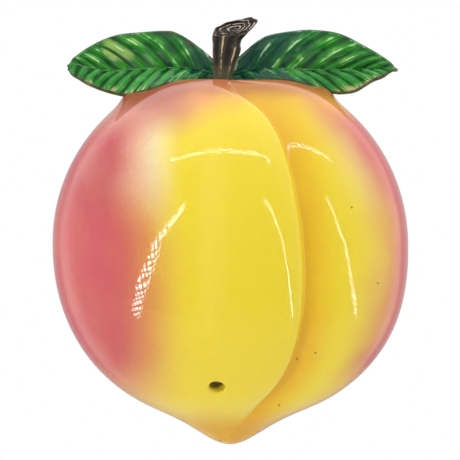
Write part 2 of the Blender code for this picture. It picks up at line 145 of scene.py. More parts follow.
def crease_sink(radius, height, turn, depth, out):
    """How far the surface lies under the plain peach beside the crease."""
    middle = crease_turn(radius, height)
    across = (turn - middle) * radius
    share = np.minimum((turn - middle) / (pi / 2 - middle), 1)
    swell = RIGHT_LOBE_SWELL * np.sin(pi * share) ** 2 * np.maximum(out, 0)
    away = np.maximum(across, 0) / CREASE_RIGHT_SPREAD
    right = depth * np.exp(-away ** CREASE_RIGHT_POWER) - swell
    step = CREASE_STEP_SHARE * np.exp(-(across / CREASE_STEP_SPREAD) ** 2)
    shoulder = (1 - CREASE_STEP_SHARE) * np.exp(-(across / CREASE_LEFT_SPREAD) ** 2)
    groove = np.where(across > 0, right, depth * (step + shoulder))
    return groove * smooth((radius - CREASE_START_RADIUS) / CREASE_FADE_IN)


# Webs of clay run from the crown up to the leaves, where the two leave the peach's outline. Each is a low
# swelling of the shell, pressed on before firing, that dies away towards the front.
LEAF_LINE_RISE = 0.0103
LEAF_LINE_Z = PIT_FLOOR_Z + LEAF_LINE_RISE
WEB_PLACES = ((0.0362, LEAF_LINE_Z - 0.0088), (-0.0385, LEAF_LINE_Z - 0.0092))
WEB_RISE = 0.0024
WEB_SPREAD = 0.0050
WEB_REACH_FORWARD = 0.0080


def web_rise(x, y, z):
    rise = 0
    for web_x, web_z in WEB_PLACES:
        away = ((x - web_x) / WEB_SPREAD) ** 2 + ((z - web_z) / WEB_SPREAD) ** 2
        forward = np.maximum(-BACK_DEPTH - y, 0) / WEB_REACH_FORWARD
        rise = rise + WEB_RISE * np.exp(-away - forward ** 2)
    return rise


def front_point(level, turn, inward=0.0, crease=CREASE_DEPTH, tip=TIP_LENGTH, pit=PIT_DEPTH):
    """Points of the front at a level and a turn to the right, or of a skin that lies inward of it."""
    radius, height = outline(level, tip, pit)
    out, up = outline_way(level, tip, pit)
    lower = (height - WIDEST_Z + RIGHT_SWELL_DROP) / RIGHT_SWELL_SPREAD
    radius = radius * (1 + RIGHT_SWELL * np.exp(-lower ** 2) * np.maximum(np.sin(turn), 0) / HALF_WIDTH)
    sink = inward + crease_sink(*outline(level), turn, crease, out)
    if crease:
        x = radius * np.sin(turn)
        y = -BACK_DEPTH - radius * DEPTH_SHARE * np.cos(turn)
        sink = sink - web_rise(x, y, height)
    x = (radius - sink * out) * np.sin(turn)
    y = -BACK_DEPTH - (radius * DEPTH_SHARE - sink * out) * np.cos(turn)
    return np.stack([x, y, height - sink * up + 0 * turn], -1)


def back_points(level, side, y, inward, crease):
    """Points behind the widest line, where the peach draws in a little towards the wall."""
    bend = sqrt(max(1 - (1 + y / BACK_DEPTH) ** 2, 0))
    scale = 1 - BACK_INSET / HALF_WIDTH * (1 - bend)
    pit = PIT_DEPTH - (PIT_DEPTH - PIT_DEPTH_AT_WALL) * (1 - bend)
    edge = front_point(level, side * pi / 2, inward, crease, TIP_LENGTH * bend, pit)
    x = edge[:, 0] * scale
    return np.stack([x, np.full_like(x, y), WIDEST_Z + (edge[:, 2] - WIDEST_Z) * scale], -1)


def spaced(count, crowding=0.16, power=1.8):
    """Shares of a reach that crowd together at its start."""
    share = np.arange(1, count + 1) / count
    return crowding * share + (1 - crowding) * share ** power


def add_piece(name, points, faces, materials):
    """A new object of points and faces, welded shut with its faces pointing out."""
    mesh = bpy.data.meshes.new(name)
    mesh.from_pydata([tuple(point) for point in points], [], faces)
    work = bmesh.new()
    work.from_mesh(mesh)
    bmesh.ops.remove_doubles(work, verts=work.verts, dist=WELD_DISTANCE)
    bmesh.ops.recalc_face_normals(work, faces=work.faces)
    if work.calc_volume(signed=True) < 0:
        bmesh.ops.reverse_faces(work, faces=work.faces)
    work.to_mesh(mesh)
    work.free()
    for material in materials:
        mesh.materials.append(material)
    item = bpy.data.objects.new(name, mesh)
    bpy.context.scene.collection.objects.link(item)
    return item


def closed_half(name, rows, left, right, levels, inward, crease, tip, materials):
    """A closed half peach: curved front, drawn-in sides and a flat back laid in level strips."""
    share = np.arange(rows + 1) / rows
    level = pi * share - ROW_CROWDING * np.sin(2 * pi * share)
    middle = crease_turn(*outline(level))
    left_turns = middle[:, None] - spaced(left)[::-1] * (middle[:, None] + pi / 2)
    right_turns = middle[:, None] + spaced(right) * (pi / 2 - middle[:, None])
    turns = np.concatenate([left_turns, middle[:, None], right_turns], 1)
    front = front_point(level[:, None], turns, inward, crease, tip)
    backs = [[back_points(level, side, y, inward + more, crease) for y, more in levels] for side in (-1, 1)]
    sheet = np.concatenate([np.stack(backs[0], 1), front, np.stack(backs[1][::-1], 1)], 1)
    columns = sheet.shape[1]
    faces = []
    for i in range(rows):
        for j in range(columns - 1):
            first = i * columns + j
            faces.append((first, first + columns, first + columns + 1, first + 1))
    starts = [i * columns for i in range(rows + 1)]
    ends = [start + columns - 1 for start in starts]
    notch = next(i for i in range(1, rows) if sheet[i, 0, 2] < sheet[0, 0, 2])
    faces.append(tuple(starts[:notch + 1] + ends[notch:0:-1]))
    for i in range(notch, rows):
        faces.append((starts[i], starts[i + 1], ends[i + 1], ends[i]))
    return add_piece(name, sheet.reshape(-1, 3), faces, materials)


# Glaze recipes are written as arithmetic on Tones. One Tone is a value at every point of the surface, and
# each glaze is sprayed or brushed on colour over colour, in the order of its recipe.
class Tone:
    """A value on its way through a recipe; arithmetic on it adds the nodes that work it out."""

    def __init__(self, socket):
        self.socket = socket

    def add(self, kind, settings, inputs, out=0):
        """Adds a node: its settings first, then what its sockets hold or read."""
        tree = self.socket.id_data
        node = tree.nodes.new(kind)
        for name, value in settings.items():
            setattr(node, name, value)
        for key, value in inputs.items():
            if isinstance(value, Tone):
                tree.links.new(value.socket, node.inputs[key])
            else:
                node.inputs[key].default_value = value
        return Tone(node.outputs[out])

    def sum(self, operation, *values):
        return self.add("ShaderNodeMath", {"operation": operation}, dict(enumerate(values)))

    def __add__(self, other):
        return self.sum("ADD", self, other)

    def __sub__(self, other):
        return self.sum("SUBTRACT", self, other)

    def __rsub__(self, other):
        return self.sum("SUBTRACT", other, self)

    def __mul__(self, other):
        return self.sum("MULTIPLY", self, other)

    def __truediv__(self, other):
        return self.sum("DIVIDE", self, other)

    def __pow__(self, other):
        return self.sum("POWER", self, other)

    __radd__ = __add__
    __rmul__ = __mul__

    def rise(self, start, end):
        """A soft mask that goes from 0 at one value to 1 at another."""
        settings = {"interpolation_type": "SMOOTHSTEP"}
        return self.add("ShaderNodeMapRange", settings, {0: self, 1: start, 2: end})

    def over(self, under, colour):
        """This mask's share of a colour, sprayed over what is under it."""
        settings = {"data_type": "RGBA", "clamp_factor": True}
        colours = [c if isinstance(c, Tone) else (*c, 1) for c in (under, colour)]
        return self.add("ShaderNodeMix", settings, {0: self, 6: colours[0], 7: colours[1]}, 2)

    def parts(self):
        split = self.add("ShaderNodeSeparateXYZ", {}, {0: self}).socket.node
        return [Tone(output) for output in split.outputs]

    def stretched(self, factors):
        return self.add("ShaderNodeVectorMath", {"operation": "MULTIPLY"}, {0: self, 1: factors})

    def cloud(self, size, detail=2.0, roughness=0.5):
        """Soft noise round 0, whose patches are about as large as size in this Tone's own units."""
        inputs = {"Vector": self, "Scale": 1 / size, "Detail": detail, "Roughness": roughness}
        return self.add("ShaderNodeTexNoise", {}, inputs) - 0.5


def recipe(name):
    """A new material: its shader, and the place on the object in millimetres."""
    material = bpy.data.materials.new(name)
    material.use_nodes = True
    shader = material.node_tree.nodes["Principled BSDF"]
    place = Tone(material.node_tree.nodes.new("ShaderNodeTexCoord").outputs["Object"])
    return material, shader, place.stretched((1000, 1000, 1000))


def feed(shader, key, tone):
    shader.id_data.links.new(tone.socket, shader.inputs[key])


def bumped(shader, height, depth):
    """Raises the surface a little where a Tone is high; depth is in metres."""
    bump = height.add("ShaderNodeBump", {}, {"Height": height, "Distance": depth, "Strength": 1.0}, 0)
    feed(shader, "Normal", bump)


def measured(tone, name):
    """A value that was worked out with the mesh and kept on it."""
    return tone.add("ShaderNodeAttribute", {"attribute_name": name}, {}, 2)


# The peach's own glaze is airbrushed: yellow over cream, rose at both sides, orange beside the crease, under
# the leaves and at the tip, all under one clear gloss coat with a few pinholes in it. Some shade is painted
# in
# too: in the groove of the crease, in a dark band just under the leaves, and down inside the string hole.
def peach_glaze():
    CREAM = (0.90, 0.80, 0.62)
    YELLOW = (0.86, 0.66, 0.030)
    ROSE = (0.61, 0.088, 0.104)
    DEEP_ROSE = (0.50, 0.055, 0.070)
    RIM_ROSE = (0.62, 0.12, 0.11)
    ORANGE = (0.83, 0.40, 0.002)
    BLUSH = (0.80, 0.33, 0.13)
    PINK_BLUSH = (0.58, 0.19, 0.14)
    ORANGE_BLUSH = (0.80, 0.38, 0.045)
    EMBER_AND_SHADOW = (0.36, 0.070, 0.038)
    TIP = (0.70, 0.33, 0.005)
    HOLE_SHADE = (0.085, 0.040, 0.016)
    SPECK = (0.10, 0.05, 0.02)
    FRECKLE = (0.50, 0.20, 0.03)
    PINHOLE_EDGE = (0.55, 0.25)
    PINHOLES = ((45.6, -34.9), (25.2, -91.9), (18.7, -110.0), (32.1, -89.6), (55.6, -63.4), (-3.9, -124.2))
    material, shader, place = recipe("peach glaze")
    shader.inputs["Roughness"].default_value = 0.045
    x, y, z = place.parts()
    cloud = place.cloud(16)
    grain = place.cloud(0.9, detail=3)
    from_crease = measured(x, "from_crease")
    turned = measured(place, "turn") * 180 / pi
    thin_left = x.rise(-17, -32) * (z.rise(-50, -20) * 0.60 + 0.04)
    thin_yellow = thin_left + turned.rise(34, 56) * (z.rise(-45, -10) * 0.4 + 0.05)
    colour = (1 - thin_yellow).over(CREAM, YELLOW)
    # The orange band beside the crease is partly sprayed orange and partly painted shade in the groove.
    crease = from_crease.rise(-0.6, 0.4) * from_crease.rise(15, 1) * z.rise(22, -10)
    shoulder = from_crease.rise(-1, 3) * z.rise(-28, 6) * 0.35
    colour = (crease * (0.62 + z.rise(-60, -100) * 0.2 + cloud * 0.6)).over(colour, ORANGE)
    colour = shoulder.over(colour, ORANGE)
    left_edge = x + 28.5 + z.rise(-52, -24) * 6 - z.rise(-14, 2) * 3 + cloud * 6 + grain * 3
    left_rose = (left_edge / (16 - z.rise(-30, -15) * 5)).rise(1, -1)
    left_rose = left_rose * (0.97 + cloud * 0.2 - z.rise(-10, 8) * 0.2 - z.rise(-90, -112) * 0.4)
    deeper = left_rose.rise(0.55, 1.0) * (z.rise(-48, -24) * 0.75 + 0.2)
    warm = left_edge.rise(9, -3) * z.rise(-22, -50) * z.rise(-100, -84) * 0.45
    colour = warm.over(colour, ORANGE)
    colour = left_rose.over(colour, deeper.over(ROSE, DEEP_ROSE))
    right_edge = turned + z.rise(-42, 2) * 9 + cloud * 9 + grain * 3
    right_rose = right_edge.rise(42, 70) * (1 - z.rise(-92, -106) * 0.6)
    colour = right_rose.over(colour, RIM_ROSE)
    sides = x.rise(-10, -34) + x.rise(16, 40) * 0.35
    blush_height = z + x.rise(0, -20) * 8 - x.rise(0, 10) * 3 + x.rise(26, 40) * 6 + cloud * 5
    blush = blush_height.rise(-3, 12)
    blush_tone = x.rise(-10, 8).over(x.rise(-8, -24).over(BLUSH, PINK_BLUSH), ORANGE_BLUSH)
    colour = (blush * 0.92).over(colour, blush_tone)
    # A dark red band just under the leaves: partly red spray, partly painted shadow of the leaves.
    ember_and_leaf_shadow = (z + sides * 5 - x.rise(18, 30) + cloud * 4).rise(5, 12.5) * (sides * 0.25 + 0.7)
    colour = ember_and_leaf_shadow.over(colour, EMBER_AND_SHADOW)
    colour = ((z + cloud * 4).rise(-109, -121) * 0.85).over(colour, TIP)
    # Painted shade down inside the string hole, darker deeper in and towards its left wall.
    shade_side = 1 - (x + 5) * 0.16
    in_hole = (measured(place, "in_hole") * shade_side).rise(1.2, 4.0)
    colour = (in_hole * 0.8).over(colour, HOLE_SHADE)
    mottle = 1 + grain * 0.07
    pinholes = 0
    for at_x, at_z in PINHOLES:
        away = ((x - at_x) ** 2 + (z - at_z) ** 2) ** 0.5
        pinholes = away.rise(*PINHOLE_EDGE) * y.rise(-13, -14) + pinholes
    colour = (pinholes * 0.7).over(colour, SPECK)
    freckles = place.cloud(1.1, detail=1).rise(0.24, 0.31) * (0.25 + crease * 0.5)
    colour = (freckles * 0.6).over(colour, FRECKLE)
    toned = colour.add("ShaderNodeVectorMath", {"operation": "SCALE"}, {0: colour, "Scale": mottle})
    feed(shader, "Base Color", toned)
    bumped(shader, place.cloud(9, detail=1) + grain * 0.015, depth=0.00012)
    return material


# Left bare, the cream clay is matt, finely speckled, and shows faint marks of the sponge.
def bare_clay():
    CLAY = (0.66, 0.56, 0.43)
    STAIN = (0.46, 0.35, 0.24)
    material, shader, place = recipe("bare clay")
    shader.inputs["Roughness"].default_value = 0.82
    speckle = place.cloud(0.5, detail=3).rise(0.12, 0.3)
    colour = (place.cloud(22, detail=4).rise(-0.05, 0.3) * 0.5).over(CLAY, STAIN)
    feed(shader, "Base Color", (speckle * 0.35).over(colour, STAIN))
    bumped(shader, place.cloud(1.4, detail=3), depth=0.0002)
    return material


PEACH_GLAZE = peach_glaze()
BARE_CLAY = bare_clay()

# The shell is cast hollow. Its back plate has a round opening and a nail hole, and a string hole is pierced
# low in front, square to the surface, before firing: the glaze rounds its rim.
WALL = 0.0055
BACK_PLATE = 0.0060
CAVITY_CREASE_DEPTH = 0.0034
OPENING_RADIUS = 0.0420
NAIL_RADIUS = 0.0035
NAIL_Z = -0.0065
NAIL_BRIDGE = 0.0035
OPENING_Z = NAIL_Z - NAIL_RADIUS - NAIL_BRIDGE - OPENING_RADIUS
OPENING_DRILL_DEPTH = 1.5 * BACK_PLATE
NAIL_DRILL_DEPTH = 1.7 * BACK_PLATE
STRING_RADIUS = 0.00295
STRING_RIM = 0.0011
STRING_RIM_STEEPEST = 0.97
STRING_FINE_REACHES = (0.0085, 0.0060)
STRING_X = -0.0050
STRING_RISE = 0.0144
STRING_Z = CHIN_Z + STRING_RISE
BARE_BACK_FACING = 0.6


def ring_faces(rings, sides):
    """Quads between neighbouring rings of points."""
    faces = []
    for i in range(rings - 1):
        for j in range(sides):
            here = i * sides + j
            beside = i * sides + (j + 1) % sides
            faces.append((here, beside, beside + sides, here + sides))
    return faces


def drill(name, radius, start, end, sides, materials):
    """A round bar from one point to another, to cut with."""
    reach = end - start
    turn = reach.to_track_quat("Z", "Y")
    points = []
    for height in (0, reach.length):
        for j in range(sides):
            angle = 2 * pi * j / sides
            points.append(start + turn @ Vector((radius * cos(angle), radius * sin(angle), height)))
    caps = [tuple(range(sides)), tuple(range(sides, 2 * sides))]
    return add_piece(name, points, caps + ring_faces(2, sides), materials)


def string_place():
    """Where the string hole leaves the front, and the way out of it."""
    levels = np.linspace(pi / 2, pi, 4000)
    level = levels[np.argmin(abs(outline(levels)[1] - STRING_Z))]
    turn = np.arcsin(STRING_X / outline(level)[0])

    def near(down, across):
        return Vector(front_point(level + down * LEVEL_STEP, turn + across * LEVEL_STEP, crease=0))

    out = (near(1, 0) - near(-1, 0)).cross(near(0, 1) - near(0, -1)).normalized()
    return near(0, 0), out


def round_rim(item, place, out):
    """Refines the skin round the string hole and lets it roll over into the hole."""
    work = bmesh.new()
    work.from_mesh(item.data)
    for reach in STRING_FINE_REACHES:
        near = [edge for edge in work.edges if all((v.co - place).length < reach for v in edge.verts)]
        bmesh.ops.subdivide_edges(work, edges=near, cuts=1, use_grid_fill=True)
    rim_radius = STRING_RADIUS + STRING_RIM
    for vertex in work.verts:
        from_place = vertex.co - place
        if from_place.length < 2 * rim_radius:
            away = (from_place - out * from_place.dot(out)).length
            share = min(max((rim_radius - away) / STRING_RIM, 0), STRING_RIM_STEEPEST)
            vertex.co -= out * STRING_RIM * (1 - sqrt(1 - share ** 2))
    work.to_mesh(item.data)
    work.free()


def cut(body, tool, operation):
    """Joins a tool to a body or takes it away; the new faces keep the tool's material."""
    step = body.modifiers.new(tool.name, "BOOLEAN")
    step.operation = operation
    step.solver = "EXACT"
    step.material_mode = "TRANSFER"
    step.object = tool


def settled(item):
    """Gives an object the mesh that its modifiers make, and drops the modifiers."""
    bpy.context.view_layer.update()
    made = bpy.data.meshes.new_from_object(item.evaluated_get(bpy.context.evaluated_depsgraph_get()))
    item.modifiers.clear()
    item.data = made


def back_levels(count, edge_count):
    """Depths behind the widest line with how far each draws in, down to the rounded back edge."""
    flat = BACK_DEPTH - BACK_EDGE
    levels = [(-BACK_DEPTH + flat * sin(pi / 2 * i / count), 0.0) for i in range(1, count)]
    for i in range(edge_count + 1):
        angle = pi / 2 * i / edge_count
        levels.append((-BACK_EDGE + BACK_EDGE * sin(angle), BACK_EDGE * (1 - cos(angle))))
    return levels[::-1]


shell = closed_half("peach_shell", rows=190, left=120, right=84, levels=back_levels(9, 4), inward=0.0,
                    crease=CREASE_DEPTH, tip=TIP_LENGTH, materials=[PEACH_GLAZE, BARE_CLAY])
for polygon in shell.data.polygons:
    if polygon.normal.y > BARE_BACK_FACING and polygon.center.y > -BACK_EDGE:
        polygon.material_index = 1
rim_place, rim_out = string_place()
round_rim(shell, rim_place, rim_out)
hollow = closed_half("hollow", rows=70, left=34, right=26, levels=[(-BACK_PLATE, 0.0)], inward=WALL,
                     crease=CAVITY_CREASE_DEPTH, tip=TIP_LENGTH / 2, materials=[BARE_CLAY])
through = Vector((0, 2 * BACK_PLATE, 0))
opening_start = Vector((0, -OPENING_DRILL_DEPTH, OPENING_Z))
nail_start = Vector((0, -NAIL_DRILL_DEPTH, NAIL_Z))
tools = [
    hollow,
    drill("opening", OPENING_RADIUS, opening_start, opening_start + through, 160, [BARE_CLAY]),
    drill("nail", NAIL_RADIUS, nail_start, nail_start + through, 64, [BARE_CLAY]),
    drill("string", STRING_RADIUS, rim_place - rim_out * 2.5 * WALL, rim_place + rim_out * WALL, 96,
          [PEACH_GLAZE]),
]
for tool in tools[1:]:
    cut(hollow, tool, "UNION")
settled(hollow)
cut(shell, hollow, "DIFFERENCE")
settled(shell)
for tool in tools:
    bpy.data.objects.remove(tool)


def keep_value(item, name, values):
    """Stores one number for each vertex, for the glaze to read."""
    item.data.attributes.new(name, "FLOAT", "POINT").data.foreach_set("value", values)


def vertex_places(item):
    flat = np.empty(len(item.data.vertices) * 3, np.float32)
    item.data.vertices.foreach_get("co", flat)
    return flat.reshape(-1, 3).astype(float)


def finish_piece(item, sharp=radians(40)):
    """Smooth shading with true edges, and the frame's calls for a piece of the one casting."""
    item.data.shade_smooth()
    item.data.set_sharp_from_angle(angle=sharp)
    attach(item, "root")
    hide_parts("ceramic_peach")


# The glaze reads where a point of the shell lies: across the crease, round the peach, down the string hole.
places = vertex_places(shell)
ring = np.hypot(places[:, 0], (places[:, 1] + BACK_DEPTH) / DEPTH_SHARE)
turned = np.arctan2(places[:, 0], -(places[:, 1] + BACK_DEPTH) / DEPTH_SHARE)
keep_value(shell, "from_crease", (turned - crease_turn(ring, places[:, 2])) * ring * 1000)
keep_value(shell, "turn", turned)
from_rim = places - np.array(rim_place)
depth_in = -from_rim @ np.array(rim_out)
beside = np.linalg.norm(from_rim + depth_in[:, None] * np.array(rim_out), axis=1)
keep_value(shell, "in_hole", np.where(beside < 1.2 * STRING_RADIUS, np.maximum(depth_in, 0), 0) * 1000)
finish_piece(shell)

# The leaves. Each is modelled on the casting by hand: a long blade that lies on the peach's shoulder, with
# ribs that slant from a fine midrib to the edge, a rounded rim and a lower edge flecked with cream, partly
# clay where the glaze wore off and partly a painted highlight.
LEAF_PLANE = 0.0140
LEAF_ROOT_FORWARD = 0.0090
LEAF_ROOT_FADE = 0.14
LEAF_LEAN_BACK = 0.0050
LEAF_TIP_CURL = 0.0030
LEAF_OVER_PEACH = 0.0010
LEAF_EDGE_EASE = 0.0110
LEAF_ROOT_SHARE = 0.30
LEAF_TIP_SHARE = 0.25
LEAF_PUFF = 0.0012
LEAF_THICKNESS = 0.0045
LEAF_EDGE_THINNING = 0.35
LEAF_TIP_THINNING = 0.3
LEAF_SLIMMEST = 0.0012
LEAF_WALL_GAP = 0.0015
LEAF_END_TRIM = 0.004
STEM_X = -0.0027
# The stations of a leaf's lines are shares of its length, each with a height. A lead slants the ribs outward.
LEAVES = {
    "right_leaf": {
        "side": 1, "length": 0.0673, "upper_lead": 0.229, "lower_lead": 0.17,
        "upper": ((0, 0.0010), (0.105, 0.0065), (0.19, 0.0114), (0.26, 0.0139), (0.42, 0.0158),
                  (0.52, 0.0161), (0.67, 0.0147), (0.80, 0.0105), (0.95, 0.0043), (1, 0)),
        "midrib": ((0, -0.0035), (0.10, -0.0012), (0.22, 0.0003), (0.45, 0), (1, 0)),
        "lower": ((0, -0.0070), (0.17, -0.0055), (0.27, -0.0043), (0.38, -0.0047), (0.53, -0.0070),
                  (0.65, -0.0093), (0.71, -0.0094), (0.77, -0.0085), (0.87, -0.0042), (1, 0)),
    },
    "left_leaf": {
        "side": -1, "length": 0.0600, "upper_lead": 0.225, "lower_lead": 0.13,
        "upper": ((0, 0.0010), (0.10, 0.0068), (0.20, 0.0115), (0.28, 0.0144), (0.35, 0.0157),
                  (0.58, 0.0150), (0.69, 0.0141), (0.82, 0.0111), (0.96, 0.0054), (1, 0.0012)),
        "midrib": ((0, -0.0030), (0.10, -0.0010), (0.25, 0.0005), (0.58, 0), (0.70, -0.0005),
                   (0.80, -0.0001), (0.94, 0.0022), (1, 0.0012)),
        "lower": ((0, -0.0052), (0.25, -0.0053), (0.35, -0.0059), (0.44, -0.0076), (0.54, -0.0093),
                  (0.63, -0.0104), (0.77, -0.0085), (0.92, -0.0042), (0.98, -0.0018), (1, 0.0012)),
    },
}
LEAF_COLUMNS = 300
LEAF_ROWS = 34
LEAF_RIM_ROWS = 6
UPPER_RIBS = 9
LOWER_RIBS = 12
RIB_HEIGHT = 0.0013
MIDRIB_HEIGHT = 0.00035
MIDRIB_WIDTH = 0.035
HAND_WOBBLE = 0.00022
HAND_WOBBLE_FINENESS = 260


def along(stations, share):
    """A smooth curve through (share, value) stations, at an array of shares."""
    x, y = np.array(stations, float).T
    slope = np.empty_like(y)
    slope[1:-1] = (y[2:] - y[:-2]) / (x[2:] - x[:-2])
    slope[0] = (y[1] - y[0]) / (x[1] - x[0])
    slope[-1] = (y[-1] - y[-2]) / (x[-1] - x[-2])
    i = np.clip(np.searchsorted(x, share, side="left") - 1, 0, len(x) - 2)
    span = x[i + 1] - x[i]
    t = (share - x[i]) / span
    start = slope[i] * span
    end = slope[i + 1] * span
    rise = y[i + 1] - y[i]
    return y[i] + t * (start + t * (3 * rise - 2 * start - end + t * (start + end - 2 * rise)))


def shoulder_depth(x, z):
    """How far forward the peach's shoulder lies, eased so that a leaf drapes over it."""
    levels = np.linspace(np.arcsin(1.35 * PIT_SPREAD / HALF_WIDTH), pi / 2, 3000)
    radii, heights = outline(levels)
    radius = np.interp(-z, -heights, radii)
    inside = radius ** 2 - x ** 2
    over = np.sqrt((inside + np.sqrt(inside ** 2 + LEAF_EDGE_EASE ** 4)) / 2)
    return -BACK_DEPTH - over * DEPTH_SHARE - LEAF_OVER_PEACH


def leaf_lines(leaf, share):
    """Midrib, upper edge and lower edge of a leaf, as arrays of points."""
    curl = LEAF_TIP_CURL * share ** 2
    root = np.exp(-share / LEAF_ROOT_FADE)

    def place(at, stations):
        return STEM_X + leaf["side"] * at * leaf["length"], LEAF_LINE_Z + along(stations, at)

    mid_x, mid_z = place(share, leaf["midrib"])
    mid_y = -LEAF_PLANE - LEAF_ROOT_FORWARD * root + curl
    up_x, up_z = place(share + leaf["upper_lead"] * np.sin(pi * share), leaf["upper"])
    up_y = mid_y + LEAF_LEAN_BACK * (1 - share ** 4)
    low_x, low_z = place(share + leaf["lower_lead"] * np.sin(pi * share), leaf["lower"])
    drape = smooth(share / LEAF_ROOT_SHARE) * smooth((1 - share) / LEAF_TIP_SHARE)
    low_y = mid_y + (np.minimum(shoulder_depth(low_x, low_z), mid_y) - mid_y) * drape
    return [np.stack(line, -1) for line in ((mid_x, mid_y, mid_z), (up_x, up_y, up_z), (low_x, low_y, low_z))]


def unit(vectors):
    return vectors / np.linalg.norm(vectors, axis=-1, keepdims=True)


def rib_profile(share, cross):
    """Count of ribs passed, height and size of the ribs: broad ones above the midrib, finer ones below it."""
    reach = np.abs(cross)
    upper = share * UPPER_RIBS - 0.55 * reach ** 2 * np.sin(pi * share)
    lower = share * LOWER_RIBS - 0.35 * reach ** 2 * np.sin(pi * share)
    turns = np.where(cross > 0, upper, lower)
    wave = 0.5 - 0.5 * np.cos(2 * pi * turns) * (0.85 + 0.15 * np.cos(4 * pi * turns))
    wave = np.where(cross > 0, wave ** 0.75, wave ** 0.9)
    size = np.where(cross > 0, 1.0, 0.62)
    return turns, wave, size


def leaf_face(leaf, share, cross):
    """The smooth face of a leaf: its points, the way each looks, and how thick the leaf is there."""
    middle, upper, lower = leaf_lines(leaf, share[:, 0])
    edge = np.where((cross > 0)[..., None], upper[:, None], lower[:, None])
    width = np.linalg.norm(edge - middle[:, None], axis=-1)
    thickness = LEAF_THICKNESS * (1 - LEAF_EDGE_THINNING * abs(cross) ** 3) * (1 - LEAF_TIP_THINNING * share)
    thickness = np.minimum(thickness, 0.9 * width + LEAF_SLIMMEST)
    inset = np.minimum(thickness / 2 / np.maximum(width, 0.0001), 0.45)
    reach = abs(cross) * (1 - inset[:, [-1 if c > 0 else 0 for c in cross[0]]])
    face = middle[:, None] + (edge - middle[:, None]) * reach[..., None]
    face[..., 1] -= LEAF_PUFF * np.sin(pi * reach) * np.sin(pi * np.minimum(share + 0.1, 1))
    face[..., 2] += np.where(cross < 0, LEAF_PUFF * np.sin(pi * reach) * np.sin(pi * share), 0)
    run = np.gradient(face, axis=0)
    climb = np.gradient(face, axis=1)
    normal = unit(leaf["side"] * np.cross(run, climb))
    at_end = np.maximum(smooth((share - 0.82) / 0.12), smooth(1 - share / 0.07))[..., None]
    normal = unit(normal + (np.array((0, -1, 0)) - normal) * at_end)
    return face, normal, thickness[..., None]


def leaf_relief(face, share, cross, wave, size):
    """How far the ribs, the midrib and the marks of the modelling tool stand up from the smooth face."""
    fade = np.sin(pi * np.minimum(abs(cross) + 0.12, 1)) ** 0.7 * smooth((1 - share) / 0.15)
    fade = fade * smooth(share / 0.06)
    relief = RIB_HEIGHT * wave * size * fade
    relief += MIDRIB_HEIGHT * np.exp(-(cross / MIDRIB_WIDTH) ** 2) * smooth((1 - share) / 0.05)
    wobble = np.array([[noise.noise(Vector(p) * HAND_WOBBLE_FINENESS) for p in row] for row in face])
    relief += HAND_WOBBLE * wobble * fade
    return relief[..., None]


def leaf_rim(top, bottom, outward):
    """Lines of points that round a rim from the edge of the face down to the edge of the underside."""
    centre = (top + bottom) / 2
    half = np.linalg.norm(top - bottom, axis=-1, keepdims=True) / 2
    up = unit(top - bottom)
    angles = [pi * i / (LEAF_RIM_ROWS + 1) for i in range(1, LEAF_RIM_ROWS + 1)]
    return [centre + (up * cos(a) + outward * sin(a)) * half for a in angles]


def make_leaf(name, leaf, material):
    """A leaf as rings of points: over its face, round the upper rim, back underneath, round the lower rim."""
    share = np.linspace(LEAF_END_TRIM, 1 - LEAF_END_TRIM, LEAF_COLUMNS + 1)[:, None]
    cross = np.linspace(-1, 1, 2 * LEAF_ROWS + 1)[None, :]
    smooth_face, normal, thickness = leaf_face(leaf, share, cross)
    turns, wave, size = rib_profile(share, cross)
    under = smooth_face - normal * thickness
    under[..., 1] = np.minimum(under[..., 1], -LEAF_WALL_GAP)
    face = smooth_face + normal * leaf_relief(smooth_face, share, cross, wave, size)
    upper_rim = leaf_rim(face[:, -1], under[:, -1], unit(face[:, -1] - face[:, -2]))
    lower_rim = leaf_rim(face[:, 0], under[:, 0], unit(face[:, 0] - face[:, 1]))
    loop = np.concatenate([face, np.stack(upper_rim, 1), under[:, ::-1], np.stack(lower_rim[::-1], 1)], 1)
    sides = loop.shape[1]
    caps = [tuple(range(sides)), tuple(LEAF_COLUMNS * sides + j for j in range(sides))]
    item = add_piece(name, loop.reshape(-1, 3), ring_faces(LEAF_COLUMNS + 1, sides) + caps, [material])
    rim = np.ones((LEAF_COLUMNS + 1, LEAF_RIM_ROWS))
    back = np.ones_like(cross) + 0 * share
    streaks = wave ** 0.6 + 0.10 * np.cos(8 * pi * turns) + 0.07 * np.cos(22 * pi * turns)
    values = {
        "rib": np.concatenate([streaks, rim * streaks[:, -1:], 0 * back, rim * streaks[:, :1]], 1),
        "share": np.repeat(share, sides, 1),
        "turns": np.concatenate([turns, 0 * rim, 0 * back, 0 * rim], 1),
        "cross": np.concatenate([cross + 0 * share, rim * 1.05, back * 2, rim * -1.05], 1),
    }
    for key, value in values.items():
        keep_value(item, key, value.reshape(-1))
    finish_piece(item, radians(60))


